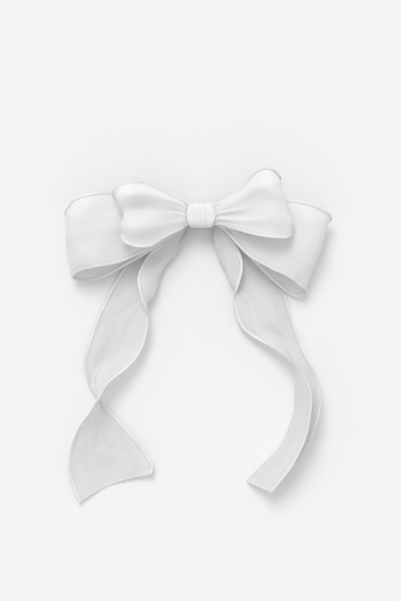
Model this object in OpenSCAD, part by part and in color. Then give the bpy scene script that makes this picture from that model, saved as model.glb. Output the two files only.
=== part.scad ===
// Two-tier ribbon hair bow with two long tails on a lined alligator clip.
// It lies face up: +X to its right, +Y to the top of the bow, +Z out of its face.
// The origin is on the flat back of the clip's jaw, under the centre of the knot.

/* [Ribbon] */
// Thickness of the ribbon as a solid sheet
ribbon_t = 0.5; // [0.3:0.05:0.6]
// Extra thickness of the gathered pleats where the ribbon enters the knot
gather_bulk = 0.7; // [0.2:0.1:0.8]
// Distance from the knot over which the pleats fan out
gather_reach = 12; // [8:1:16]
// Diameter of the thread-covered wire along each edge
edge_wire_d = 0.9; // [0.6:0.1:1]

/* [Knot] */
// Width of the centre wrap along the bow
wrap_w = 13.5; // [12:0.5:13.5]
// Height of the centre wrap, from its lower to its upper fold
wrap_h = 14.7; // [14.5:0.1:16]
// Depth of the centre wrap from its back to its crown
wrap_depth = 11.7; // [11.6:0.1:12.5]
// Wall of the centre wrap
wrap_wall = 0.5; // [0.3:0.05:0.55]
// Diameter of the gathering thread
thread_d = 0.6; // [0.4:0.1:0.7]
// Number of turns of the gathering thread
thread_turns = 4; // [2:1:6]

/* [Clip] */
// Distance from the knot to the jaw tips
tip_x = 22; // [20:1:26]
// Distance from the knot to the thumb end
thumb_x = 24; // [22:1:25]
// Thickness of the clip's sheet metal
metal_t = 0.6; // [0.5:0.05:0.7]
// Width of the top lever
lever_w = 8.4; // [8:0.2:9]
// Width of the toothed jaw
jaw_w = 6.6; // [6:0.2:6.6]
// Underside of the flat part of the lever above the table
lever_z = 3.05; // [3:0.05:3.2]
// Thickness of the ribbon that lines the lever
lining_t = 0.35; // [0.2:0.05:0.35]
// Number of teeth along each side of the jaw
teeth = 12; // [6:1:16]

/* [Hinge] */
// Distance from the knot to the hinge pin
pin_x = 14.5; // [13:0.5:15]
// Height of the hinge pin above the table
pin_z = 2.65; // [2.6:0.05:2.8]
// Diameter of the hinge pin
pin_d = 1.1; // [0.9:0.1:1.2]
// Radial running clearance of the jaw on its pin
pin_gap = 0.05; // [0.03:0.01:0.08]
// Diameter of the spring wire
spring_wire = 0.55; // [0.4:0.05:0.6]
// Number of turns of the spring
spring_turns = 4; // [3:1:5]

/* [Hidden] */

$fn = 48;
sheet_steps = 26;      // cells along a ribbon
sheet_cells = 6;       // cells across a ribbon
wire_steps = 26;       // rings along an edge wire
wire_sides = 6;        // sides of an edge wire
wire_r = edge_wire_d / 2;
max_inset = 0.3;       // largest share of the way across that an inset may take
knot_y = -0.15;        // centre of the wrap
wrap_top = 16.6;       // crown of the wrap above the table
wrap_bottom = wrap_top - wrap_depth;
lining_top = lever_z + metal_t + lining_t;
thumb_z = 6.2;         // underside of the lever at its thumb end
hump_x = 8;            // where the lever starts to rise
hump_end_x = 13;       // where the rise eases
hump_z = 4.6;          // underside of the lever there
ear_t = 0.6;           // thickness of the hinge ears
lever_ear_y = lever_w / 2 - ear_t;
jaw_ear_y = jaw_w / 2 - ear_t;
tooth_top = 2.45;      // tips of the teeth, just below the lining
trim_h = 12;           // height of the plan outline that trims the lever and its lining
wire_gap = 0.25;       // between a wire and the sheet beside it
edge_inset = wire_r + wire_gap;   // from an edge to where its sheet starts

// Each row is one station along a ribbon: a point on one edge, the middle, a point on the
// other edge, and how far the two halves puff out between them. A loop runs from the knot
// along its front ply, over the fold and back along its rear ply. A tail runs to its cut end.
back_left_rows = [
    [[-0.4, 4.5, 10.5], [-0.4, -0.5, 11], [-0.4, -5.5, 10.5], 0],
    [[-7.5, 4.8, 10.6], [-7.5, -0.5, 11.2], [-7.5, -6, 10.6], 0],
    [[-14, 6, 11], [-15, -0.5, 12], [-14, -9.5, 11], 0],
    [[-30, 10, 13], [-31, -3.5, 13.5], [-28.5, -19, 13], 0],
    [[-49, 13, 15.5], [-50, -6.5, 17], [-44.5, -26.5, 15], 0],
    [[-62, 12, 18], [-64.5, -9.5, 19.5], [-59, -29.5, 18], 0],
    [[-71.5, 9, 15.5], [-73, -11.5, 17], [-68, -31.5, 14.5], 0],
    [[-76, 2.5, 9.5], [-76, -14, 10], [-72.5, -35.5, 8.5], 0],
    [[-72, -1, 4], [-69, -17.5, 2.5], [-64, -37.5, 3], 0],
    [[-54.5, -1.5, 4.5], [-50.5, -17, 3], [-51.5, -33.5, 4], 0],
    [[-31, 1.5, 7], [-31, -11.5, 7], [-29, -20.5, 7.5], 0],
    [[-14, 3.5, 8.6], [-15.5, -2, 8.6], [-14, -9.5, 8.6], 0],
    [[-7.5, 4.5, 9], [-7.5, -0.5, 9], [-7.5, -6, 9], 0],
    [[-0.4, 4.5, 9], [-0.4, -0.5, 9], [-0.4, -5.5, 9], 0]];
back_right_rows = [
    [[0.4, 4.5, 10.5], [0.4, -0.5, 11], [0.4, -5.5, 10.5], 0],
    [[7.5, 4.8, 10.6], [7.5, -0.5, 11.2], [7.5, -6, 10.6], 0],
    [[14, 5, 11], [15, -1.5, 12], [14, -10, 11], 0],
    [[28.5, 6.5, 13], [27.5, -5, 13.5], [25.5, -22, 13], 0],
    [[48.5, 8.5, 15], [45, -10, 17], [38.5, -30, 15.5], 0],
    [[61, 6.5, 17], [57, -15.5, 18.5], [48, -34.5, 16.5], 0],
    [[69, 3, 15], [64.5, -20, 16.5], [55, -39.5, 13.5], 0],
    [[74, -1, 9], [67, -19.5, 9.5], [59.5, -43.5, 8], 0],
    [[66.5, -3.5, 4], [59, -22.5, 2.5], [53.5, -46, 3], 0],
    [[50.5, -1, 4.5], [47, -18.5, 3], [43, -39, 4], 0],
    [[29, 3, 8], [30, -9.5, 8.5], [27.5, -24, 9], 0],
    [[14, 3.5, 9], [15, -2, 9], [14, -9.5, 9], 0],
    [[7.5, 4.5, 9], [7.5, -0.5, 9], [7.5, -6, 9], 0],
    [[0.4, 4.5, 9], [0.4, -0.5, 9], [0.4, -5.5, 9], 0]];
front_left_rows = [
    [[-0.4, 5, 14], [-0.4, 0, 14.5], [-0.4, -5, 14], 0],
    [[-7, 5.8, 14.4], [-7, 0.2, 14.6], [-7, -5.8, 14.4], 0],
    [[-11.5, 9.5, 16], [-12.5, 1, 16.6], [-11.5, -8.5, 16], 0.8],
    [[-20.5, 13.5, 19.5], [-22.5, 2, 20.5], [-20, -13, 19.5], 2],
    [[-31, 18, 24], [-31, 2.5, 23], [-28, -18, 23], 4],
    [[-41, 18, 27], [-39, 1.5, 26], [-36, -18.5, 25.5], 4.5],
    [[-48, 14.5, 26.5], [-42.5, 1.5, 25], [-42.5, -16, 24.5], 3],
    [[-49.5, 9.5, 23.5], [-43, 1, 22], [-45, -11.5, 21.5], 1.5],
    [[-45, 5.5, 20.5], [-41.5, -0.5, 19.5], [-42, -9.5, 18.5], 0],
    [[-31.5, 7.5, 18], [-31, -1, 17.5], [-31, -12, 17], 0],
    [[-13, 5.5, 13.5], [-13.5, -1, 13.5], [-13, -8, 13.5], 0],
    [[-7, 5, 12.8], [-7, -0.2, 12.8], [-7, -5.5, 12.8], 0],
    [[-0.4, 5, 12.5], [-0.4, 0, 12.5], [-0.4, -5, 12.5], 0]];
front_right_rows = [
    [[0.4, 5, 14], [0.4, 0, 14.5], [0.4, -5, 14], 0],
    [[7, 5.6, 14.4], [7, 0.2, 14.6], [7, -5.4, 14.4], 0],
    [[12, 8, 16], [12, 1.5, 16.6], [12, -6, 16], 0.5],
    [[22, 15.5, 19.5], [23.5, 3.5, 20.8], [20.5, -9, 19.5], 1],
    [[28, 22.5, 25], [33, 6, 26], [30.5, -12, 25], 1.5],
    [[34, 26, 27.5], [41, 5.5, 28.5], [40.5, -13.5, 27.5], 1.5],
    [[39.5, 25.5, 27], [46, 5.5, 27], [47.5, -13.5, 26.5], 1],
    [[43, 21, 24.5], [48, 5, 23.5], [51.5, -10.5, 22], 0.5],
    [[40.5, 17, 21], [44.5, 3.5, 20], [47.5, -9, 19.5], 0],
    [[29, 13, 18.5], [31, 1.5, 18], [32, -10, 17.5], 0],
    [[13, 6, 13.5], [14, 0, 13.5], [13.5, -7.5, 13.5], 0],
    [[7, 5, 12.8], [7, -0.2, 12.8], [7, -5.4, 12.8], 0],
    [[0.4, 5, 12.5], [0.4, 0, 12.5], [0.4, -5, 12.5], 0]];
tail_left_rows = [
    [[-0.4, 4, 7], [-0.4, -0.5, 7.1], [-0.4, -5, 7], 0],
    [[-7.5, 2.5, 6.9], [-7.2, -2.2, 7.2], [-7.5, -5.6, 7.1], 0],
    [[-17, -5, 5.8], [-8.9, -11.2, 5.4], [-12.8, -8.2, 6.6], 0],
    [[-27, -14.5, 4], [-13.7, -20.5, 4.2], [-20.5, -14.5, 6.4], 0],
    [[-38.5, -23, 1.5], [-20, -27.5, 3.5], [-29.5, -22, 6.8], 0],
    [[-48, -36, 1], [-23.5, -35, 4], [-35.5, -34.5, 10], 0],
    [[-55, -49, 1], [-29, -46, 4.5], [-34, -47.5, 11], 0],
    [[-62, -65.5, 1.5], [-42.5, -58, 3], [-29.5, -61, 9], 0],
    [[-66.5, -83.5, 4], [-53, -81, 1], [-36, -80.5, 9], 0],
    [[-64, -95.5, 4], [-59, -92, 4], [-50, -93.5, 14], 0],
    [[-58.5, -104, 1.5], [-58.5, -104, 9], [-58.5, -104.5, 18], 0],
    [[-52.5, -110, 1], [-59, -113.5, 5], [-66, -115.5, 15], 0],
    [[-39, -124.5, 3], [-56.5, -128.5, 2], [-73, -131, 8], 0],
    [[-28, -140, 4.5], [-52, -140.5, 1], [-75, -146, 3.5], 0],
    [[-28, -146.5, 4.5], [-50.5, -152.5, 1], [-69.5, -163, 2.5], 0]];
tail_right_rows = [
    [[0.4, -5, 7], [0.4, -0.5, 7.1], [0.4, 4, 7], 0],
    [[7.5, -5.6, 7.1], [7.2, -2.2, 7.2], [7.5, 2.5, 7], 0],
    [[12.8, -8.6, 6.8], [7.4, -11.3, 5.6], [17.5, -6.6, 6.6], 0],
    [[18.8, -14.5, 6.8], [9.6, -19.5, 4.5], [25.5, -12, 4.5], 0],
    [[23.5, -26.5, 8], [13, -28.5, 3.5], [34.5, -21.5, 2], 0],
    [[21.5, -39.5, 8.5], [20, -39, 2.5], [43.5, -33, 1], 0],
    [[18.5, -49.5, 6], [32, -47.5, 4], [49.5, -49, 1], 0],
    [[24, -64.5, 4.5], [37, -60.5, 6], [53.5, -64, 1], 0],
    [[39, -74.5, 9], [46.5, -71.5, 4], [58, -75, 3.5], 0],
    [[53, -83.5, 17], [53, -85.5, 4], [62, -83.5, 8], 0],
    [[60.5, -95, 21], [53, -98, 2], [66, -95, 12], 0],
    [[61.5, -110.5, 22], [52.5, -113, 1], [66.5, -112, 14], 0],
    [[57, -129.5, 20], [45.5, -130, 1], [61, -128.5, 13], 0],
    [[49.5, -143.5, 17], [33.5, -143, 1], [51.5, -142.5, 11], 0],
    [[40, -156, 13], [26, -150.5, 1], [42, -154, 8], 0]];

function unit(a) = a / max(norm(a), 0.000001);
function column(rows, k) = [for (row = rows) row[k]];

// Point at t, from 0 to 1, on a smooth curve through the points of a list
function curve(pts, t) =
    let(n = len(pts) - 1,
        i = min(floor(t * n), n - 1),
        f = t * n - i,
        b = pts[i],
        c = pts[i + 1],
        a = i > 0 ? pts[i - 1] : 2 * b - c,
        d = i + 2 <= n ? pts[i + 2] : 2 * c - b)
    0.5 * (2 * b + (c - a) * f + (2 * a - 5 * b + 4 * c - d) * f * f
        + (3 * b - a - 3 * c + d) * f * f * f);

// Point on the middle surface of a ribbon, u along it and v across it
function arch(rows, u, v) =
    curve(column(rows, 0), u) * 2 * (v - 0.5) * (v - 1)
    + curve(column(rows, 1), u) * 4 * v * (1 - v)
    + curve(column(rows, 2), u) * 2 * v * (v - 0.5);

function facing(rows, u, v, e = 0.004) =
    unit(cross(arch(rows, min(u + e, 1), v) - arch(rows, max(u - e, 0), v),
               arch(rows, u, min(v + e, 1)) - arch(rows, u, max(v - e, 0))));

function ribbon_point(rows, u, v, side) =
    arch(rows, u, v)
    + facing(rows, u, v) * side * curve(column(rows, 3), u) * pow(sin(360 * v), 2);

// How far in from its edge at v (0 or 1) the sheet starts, as a share of the way across.
// Measured square to the edge, so the wire on it stays clear of the sheet.
function inset(rows, u, v, e = 0.02) =
    let(along = unit(arch(rows, min(u + e, 1), v) - arch(rows, max(u - e, 0), v)),
        inward = arch(rows, u, v + (v == 0 ? e : -e)) - arch(rows, u, v))
    min(max_inset, edge_inset * e / norm(cross(inward, along)));

// Half the thickness, swollen by the pleats close to the knot
function half_thick(p) =
    (ribbon_t + gather_bulk * max(0, 1 - norm([p[0], p[1]]) / gather_reach)) / 2;

// One face of the sheet, offset by half its thickness along its normal
function sheet_face(rows, side, sign) =
    [for (i = [0 : sheet_steps])
        let(u = i / sheet_steps, first = inset(rows, u, 0), last = 1 - inset(rows, u, 1))
        for (j = [0 : sheet_cells])
            let(v = first + (last - first) * j / sheet_cells,
                p = ribbon_point(rows, u, v, side))
            p + facing(rows, u, v) * sign * half_thick(p)];

// A ribbon as one closed sheet of even thickness between its two edge wires
module ribbon_sheet(rows, side = 1) {
    m = sheet_steps;
    n = sheet_cells;
    low = (m + 1) * (n + 1);
    function at(i, j) = i * (n + 1) + j;
    polyhedron(
        points = concat(sheet_face(rows, side, 1), sheet_face(rows, side, -1)),
        faces = concat(
            [for (i = [0 : m - 1]) for (j = [0 : n - 1]) each [
                [at(i, j), at(i, j + 1), at(i + 1, j + 1)],
                [at(i, j), at(i + 1, j + 1), at(i + 1, j)],
                [low + at(i, j), low + at(i + 1, j + 1), low + at(i, j + 1)],
                [low + at(i, j), low + at(i + 1, j), low + at(i + 1, j + 1)]]],
            [for (i = [0 : m - 1]) each [
                [at(i, 0), at(i + 1, 0), low + at(i + 1, 0)],
                [at(i, 0), low + at(i + 1, 0), low + at(i, 0)],
                [at(i + 1, n), at(i, n), low + at(i, n)],
                [at(i + 1, n), low + at(i, n), low + at(i + 1, n)]]],
            [for (j = [0 : n - 1]) each [
                [at(0, j + 1), at(0, j), low + at(0, j)],
                [at(0, j + 1), low + at(0, j), low + at(0, j + 1)],
                [at(m, j), at(m, j + 1), low + at(m, j + 1)],
                [at(m, j), low + at(m, j + 1), low + at(m, j)]]]));
}

// A round bar swept along a path; across is a direction that the path never follows
module swept_bar(path, radius, sides, across) {
    m = len(path) - 1;
    rings = [for (i = [0 : m])
        let(t = unit(path[min(i + 1, m)] - path[max(i - 1, 0)]),
            p = unit(cross(t, across)),
            q = cross(t, p))
        for (k = [0 : sides - 1])
            path[i] + radius * (p * cos(360 * k / sides) + q * sin(360 * k / sides))];
    polyhedron(
        points = rings,
        faces = concat(
            [[for (k = [0 : sides - 1]) k]],
            [[for (k = [0 : sides - 1]) m * sides + sides - 1 - k]],
            [for (i = [0 : m - 1]) for (k = [0 : sides - 1])
                let(a = i * sides + k, b = i * sides + (k + 1) % sides)
                each [[a, a + sides, b + sides], [a, b + sides, b]]]));
}

// The wires along both edges of one ribbon
module edge_wires(rows, across) {
    for (edge = [0, 2])
        swept_bar([for (i = [0 : wire_steps]) curve(column(rows, edge), i / wire_steps)],
                  wire_r, wire_sides, across);
}

// A square with round corners made only of exact shapes
module soft_block(w, h, r) {
    union() {
        square([w - 2 * r, h], center = true);
        square([w, h - 2 * r], center = true);
        for (x = [-1, 1])
            for (y = [-1, 1])
                translate([x * (w / 2 - r), y * (h / 2 - r)]) circle(r);
    }
}

// Underside of the lever's thumb end at x
function lever_under(x) =
    hump_z + (thumb_z - hump_z) * (x - hump_end_x) / (thumb_x - hump_end_x);

// Extrude a side profile, drawn in X and Z, to a width along Y
module across_y(w) {
    translate([0, w / 2, 0]) rotate([90, 0, 0]) linear_extrude(w) children();
}

// ---- ribbons ----
module front_loop_left() { color([0.93, 0.94, 0.93]) ribbon_sheet(front_left_rows); }
module front_loop_right() { color([0.93, 0.94, 0.93]) ribbon_sheet(front_right_rows, -1); }
module back_loop_left() { color([0.90, 0.91, 0.90]) ribbon_sheet(back_left_rows); }
module back_loop_right() { color([0.90, 0.91, 0.90]) ribbon_sheet(back_right_rows, -1); }
module tail_left() { color([0.88, 0.89, 0.88]) ribbon_sheet(tail_left_rows); }
module tail_right() { color([0.88, 0.89, 0.88]) ribbon_sheet(tail_right_rows); }

// ---- edge wires: those of a loop lie in upright planes, those of a tail on the table ----
module edge_wires_front_left() { color("white") edge_wires(front_left_rows, [0, 1, 0]); }
module edge_wires_front_right() { color("white") edge_wires(front_right_rows, [0, 1, 0]); }
module edge_wires_back_left() { color("white") edge_wires(back_left_rows, [0, 1, 0]); }
module edge_wires_back_right() { color("white") edge_wires(back_right_rows, [0, 1, 0]); }
module edge_wires_tail_left() { color("white") edge_wires(tail_left_rows, [0, 0, 1]); }
module edge_wires_tail_right() { color("white") edge_wires(tail_right_rows, [0, 0, 1]); }

// ---- knot ----
// The ribbon wound once round the gathered loops
module centre_wrap() {
    corner = 3.6;
    color([0.95, 0.95, 0.93])
        translate([-wrap_w / 2, knot_y, (wrap_top + wrap_bottom) / 2])
            rotate([90, 0, 90])
                linear_extrude(wrap_w)
                    difference() {
                        soft_block(wrap_h, wrap_depth, corner);
                        soft_block(wrap_h - 2 * wrap_wall, wrap_depth - 2 * wrap_wall,
                                   corner - wrap_wall);
                    }
}

// Turns of thread that cinch the ribbons inside the wrap
module gather_thread() {
    slack = 0.1;
    ring_h = wrap_h - 2 * wrap_wall - 2 * slack;
    ring_depth = wrap_depth - 2 * wrap_wall - 2 * slack;
    corner = 3;
    color([0.9, 0.9, 0.88])
        for (k = [0 : thread_turns - 1])
            translate([(k - (thread_turns - 1) / 2) * thread_d * 1.1 - thread_d / 2, knot_y,
                       (wrap_top + wrap_bottom) / 2])
                rotate([90, 0, 90])
                    linear_extrude(thread_d)
                        difference() {
                            soft_block(ring_h, ring_depth, corner);
                            soft_block(ring_h - 2 * thread_d, ring_depth - 2 * thread_d,
                                       corner - thread_d);
                        }
}

// Hot-melt glue between the wrap and the lined lever
module glue_pad() {
    pad_w = 13;
    pad_h = 7;
    color([0.9, 0.88, 0.8])
        translate([0, 0, lining_top])
            linear_extrude(wrap_bottom - lining_top) soft_block(pad_w, pad_h, 2);
}

// ---- clip ----
// Side line of the lever, raised by up above its underside
function lever_line(up) =
    [[-tip_x, lever_z + up], [hump_x, lever_z + up], [hump_end_x, hump_z + up],
     [thumb_x, thumb_z + up]];
function backwards(pts) = [for (i = [len(pts) - 1 : -1 : 0]) pts[i]];

module lever_plan(grow = 0) {
    end_r = lever_w / 2 - ear_t;
    translate([(thumb_x - tip_x) / 2, 0])
        soft_block(thumb_x + tip_x + 2 * grow, lever_w + 2 * grow, end_r);
}

module clip_top_lever() {
    ear_w = 5;
    ear_low = 1.5;
    color([0.75, 0.76, 0.78])
        difference() {
            union() {
                intersection() {
                    across_y(lever_w) polygon(concat(lever_line(0), backwards(lever_line(metal_t))));
                    linear_extrude(trim_h) lever_plan();
                }
                for (s = [-1, 1])
                    translate([0, s * (lever_ear_y + ear_t / 2), 0])
                        across_y(ear_t)
                            polygon([[pin_x - ear_w / 2, ear_low], [pin_x + ear_w / 2, ear_low],
                                     [pin_x + ear_w / 2, hump_z + 0.3],
                                     [hump_end_x, hump_z + 0.1],
                                     [pin_x - ear_w / 2, hump_z - 0.2]]);
            }
            translate([pin_x, 0, pin_z])
                rotate([90, 0, 0]) cylinder(h = lever_w + 2, d = pin_d + 0.02, center = true);
        }
}

module clip_bottom_jaw() {
    ear_top = 3.9;
    ear_w = 4;
    tip_gap = 1.5;         // from the jaw's tip to its first tooth
    spare_pitches = 3;     // plain length of wall behind the last tooth, in teeth
    tooth_lean = 0.15;     // how far along its pitch a tooth peaks
    plan_short = 1;        // how much shorter the jaw is than the lever
    wall_x0 = -tip_x + tip_gap;
    wall_x1 = pin_x - ear_w / 2;
    pitch = (wall_x1 - wall_x0) / (teeth + spare_pitches);
    root_z = 1.4;
    color([0.72, 0.73, 0.75])
        difference() {
            union() {
                linear_extrude(metal_t)
                    translate([(thumb_x - tip_x) / 2, 0])
                        soft_block(thumb_x + tip_x - plan_short, jaw_w, jaw_w / 2 - ear_t);
                for (s = [-1, 1])
                    translate([0, s * (jaw_ear_y + ear_t / 2), 0]) {
                        across_y(ear_t)
                            polygon(concat(
                                [[wall_x1, metal_t / 2], [wall_x0, metal_t / 2],
                                 [wall_x0, root_z]],
                                [for (k = [0 : teeth - 1]) each [
                                    [wall_x0 + (k + tooth_lean) * pitch, tooth_top],
                                    [wall_x0 + (k + 1) * pitch, root_z]]],
                                [[wall_x1, root_z]]));
                        across_y(ear_t)
                            polygon([[wall_x1 - 0.5, metal_t / 2],
                                     [pin_x + ear_w / 2, metal_t / 2],
                                     [pin_x + ear_w / 2, ear_top - 1],
                                     [pin_x + ear_w / 2 - 1, ear_top],
                                     [wall_x1 + 1, ear_top],
                                     [wall_x1 - 0.5, root_z]]);
                    }
            }
            translate([pin_x, 0, pin_z])
                rotate([90, 0, 0])
                    cylinder(h = lever_w + 2, d = pin_d + 2 * pin_gap, center = true);
        }
}

module clip_hinge_pin() {
    head_t = 0.3;
    color([0.8, 0.8, 0.82])
        translate([pin_x, 0, pin_z])
            rotate([90, 0, 0]) {
                cylinder(h = lever_w + 0.1, d = pin_d, center = true);
                for (s = [-1, 1])
                    translate([0, 0, s * (lever_w / 2 + 0.05 + head_t / 2)])
                        cylinder(h = head_t, d = pin_d + 0.7, center = true);
            }
}

// Torsion spring round the pin, with one leg under the lever and one on the jaw
module clip_spring() {
    coil_r = pin_d / 2 + 0.35 + spring_wire / 2;
    step = 24;
    span = spring_turns * (spring_wire + 0.05);
    leg = 7;
    start_a = -90;
    end_a = 360 * spring_turns + 108;
    coil = [for (a = [start_a : step : end_a])
        [pin_x + coil_r * cos(a), span * ((a - start_a) / (end_a - start_a) - 0.5),
         pin_z + coil_r * sin(a)]];
    low_leg = [[pin_x + leg, -span / 2, metal_t + spring_wire / 2 + 0.05]];
    high_leg = [[pin_x + leg, span / 2, lever_under(pin_x + leg) - spring_wire / 2 - 0.1]];
    color([0.65, 0.66, 0.68])
        swept_bar(concat(low_leg, coil, high_leg), spring_wire / 2, 6, [0, 1, 0]);
}

// Narrow ribbon glued over the lever and turned under its tip
module clip_lining() {
    turn_under = 7;
    grow = lining_t;
    top = lever_line(metal_t + lining_t);
    seat = lever_line(metal_t);
    color([0.94, 0.94, 0.92])
        intersection() {
            across_y(lever_w + 1)
                polygon(concat(
                    [[-tip_x + turn_under, lever_z - lining_t], [-tip_x - grow, lever_z - lining_t],
                     [-tip_x - grow, lining_top]],
                    [for (i = [1 : 3]) top[i]],
                    backwards([for (i = [1 : 3]) seat[i]]),
                    [[-tip_x - 0.02, lever_z + metal_t], [-tip_x - 0.02, lever_z],
                     [-tip_x + turn_under, lever_z]]));
            linear_extrude(trim_h) lever_plan(grow);
        }
}

centre_wrap();
gather_thread();
front_loop_left();
front_loop_right();
back_loop_left();
back_loop_right();
tail_left();
tail_right();
edge_wires_front_left();
edge_wires_front_right();
edge_wires_back_left();
edge_wires_back_right();
edge_wires_tail_left();
edge_wires_tail_right();
glue_pad();
clip_lining();
clip_top_lever();
clip_bottom_jaw();
clip_hinge_pin();
clip_spring();
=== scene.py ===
import math
import bpy
import numpy as np
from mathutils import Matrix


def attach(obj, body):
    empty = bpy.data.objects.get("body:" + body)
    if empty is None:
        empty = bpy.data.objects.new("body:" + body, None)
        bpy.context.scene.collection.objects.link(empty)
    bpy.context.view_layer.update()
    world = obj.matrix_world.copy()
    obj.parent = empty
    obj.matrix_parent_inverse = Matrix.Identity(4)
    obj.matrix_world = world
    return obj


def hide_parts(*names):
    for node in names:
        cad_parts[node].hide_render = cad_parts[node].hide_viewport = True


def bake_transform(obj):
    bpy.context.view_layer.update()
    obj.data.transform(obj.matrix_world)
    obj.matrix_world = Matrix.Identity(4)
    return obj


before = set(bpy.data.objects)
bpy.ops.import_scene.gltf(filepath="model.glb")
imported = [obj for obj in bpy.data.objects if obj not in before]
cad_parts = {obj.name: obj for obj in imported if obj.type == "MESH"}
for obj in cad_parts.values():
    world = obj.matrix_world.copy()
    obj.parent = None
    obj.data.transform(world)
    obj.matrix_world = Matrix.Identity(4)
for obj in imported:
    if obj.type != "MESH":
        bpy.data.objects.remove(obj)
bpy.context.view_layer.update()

MM = 0.001

# ---- camera, straight above the bow ----
CAMERA_AT = (-0.285 * MM, -48.165 * MM, 1.0)
CAMERA_LENS = 105.09
camera_data = bpy.data.cameras.new("camera")
camera_data.lens = CAMERA_LENS
camera_data.clip_start = 0.01
camera = bpy.data.objects.new("camera", camera_data)
camera.location = CAMERA_AT
bpy.context.scene.collection.objects.link(camera)
bpy.context.scene.camera = camera

# ---- floor and light ----
FLOOR_SIZE = 30.0
FLOOR_COLOUR = (0.90, 0.90, 0.90)
FLOOR_GAP = 0.0001
KEY_FROM = (-0.25, 0.9, 1.12)
KEY_SPREAD = 28.0
KEY_STRENGTH = 1.3
SKY_STRENGTH = 0.69

# ---- ribbon, in millimetres: rows of edge, middle, other edge and puff ----
BACK_LEFT_ROWS = [
    [[-0.4, 4.5, 10.5], [-0.4, -0.5, 11], [-0.4, -5.5, 10.5], 0],
    [[-7.5, 4.8, 10.6], [-7.5, -0.5, 11.2], [-7.5, -6, 10.6], 0],
    [[-14, 6, 11], [-15, -0.5, 12], [-14, -9.5, 11], 0],
    [[-30, 10, 13], [-31, -3.5, 13.5], [-28.5, -19, 13], 0],
    [[-49, 13, 15.5], [-50, -6.5, 17], [-44.5, -26.5, 15], 0],
    [[-62, 12, 18], [-64.5, -9.5, 19.5], [-59, -29.5, 18], 0],
    [[-71.5, 9, 15.5], [-73, -11.5, 17], [-68, -31.5, 14.5], 0],
    [[-76, 2.5, 9.5], [-76, -14, 10], [-72.5, -35.5, 8.5], 0],
    [[-72, -1, 4], [-69, -17.5, 2.5], [-64, -37.5, 3], 0],
    [[-54.5, -1.5, 4.5], [-50.5, -17, 3], [-51.5, -33.5, 4], 0],
    [[-31, 1.5, 7], [-31, -11.5, 7], [-29, -20.5, 7.5], 0],
    [[-14, 3.5, 8.6], [-15.5, -2, 8.6], [-14, -9.5, 8.6], 0],
    [[-7.5, 4.5, 9], [-7.5, -0.5, 9], [-7.5, -6, 9], 0],
    [[-0.4, 4.5, 9], [-0.4, -0.5, 9], [-0.4, -5.5, 9], 0]]
BACK_RIGHT_ROWS = [
    [[0.4, 4.5, 10.5], [0.4, -0.5, 11], [0.4, -5.5, 10.5], 0],
    [[7.5, 4.8, 10.6], [7.5, -0.5, 11.2], [7.5, -6, 10.6], 0],
    [[14, 5, 11], [15, -1.5, 12], [14, -10, 11], 0],
    [[28.5, 6.5, 13], [27.5, -5, 13.5], [25.5, -22, 13], 0],
    [[48.5, 8.5, 15], [45, -10, 17], [38.5, -30, 15.5], 0],
    [[61, 6.5, 17], [57, -15.5, 18.5], [48, -34.5, 16.5], 0],
    [[69, 3, 15], [64.5, -20, 16.5], [55, -39.5, 13.5], 0],
    [[74, -1, 9], [67, -19.5, 9.5], [59.5, -43.5, 8], 0],
    [[66.5, -3.5, 4], [59, -22.5, 2.5], [53.5, -46, 3], 0],
    [[50.5, -1, 4.5], [47, -18.5, 3], [43, -39, 4], 0],
    [[29, 3, 8], [30, -9.5, 8.5], [27.5, -24, 9], 0],
    [[14, 3.5, 9], [15, -2, 9], [14, -9.5, 9], 0],
    [[7.5, 4.5, 9], [7.5, -0.5, 9], [7.5, -6, 9], 0],
    [[0.4, 4.5, 9], [0.4, -0.5, 9], [0.4, -5.5, 9], 0]]
FRONT_LEFT_ROWS = [
    [[-0.4, 5, 14], [-0.4, 0, 14.5], [-0.4, -5, 14], 0],
    [[-7, 5.8, 14.4], [-7, 0.2, 14.6], [-7, -5.8, 14.4], 0],
    [[-11.5, 9.5, 16], [-12.5, 1, 16.6], [-11.5, -8.5, 16], 0.8],
    [[-20.5, 13.5, 19.5], [-22.5, 2, 20.5], [-20, -13, 19.5], 2],
    [[-31, 18, 24], [-31, 2.5, 23], [-28, -18, 23], 4],
    [[-41, 18, 27], [-39, 1.5, 26], [-36, -18.5, 25.5], 4.5],
    [[-48, 14.5, 26.5], [-42.5, 1.5, 25], [-42.5, -16, 24.5], 3],
    [[-49.5, 9.5, 23.5], [-43, 1, 22], [-45, -11.5, 21.5], 1.5],
    [[-45, 5.5, 20.5], [-41.5, -0.5, 19.5], [-42, -9.5, 18.5], 0],
    [[-31.5, 7.5, 18], [-31, -1, 17.5], [-31, -12, 17], 0],
    [[-13, 5.5, 13.5], [-13.5, -1, 13.5], [-13, -8, 13.5], 0],
    [[-7, 5, 12.8], [-7, -0.2, 12.8], [-7, -5.5, 12.8], 0],
    [[-0.4, 5, 12.5], [-0.4, 0, 12.5], [-0.4, -5, 12.5], 0]]
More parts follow.
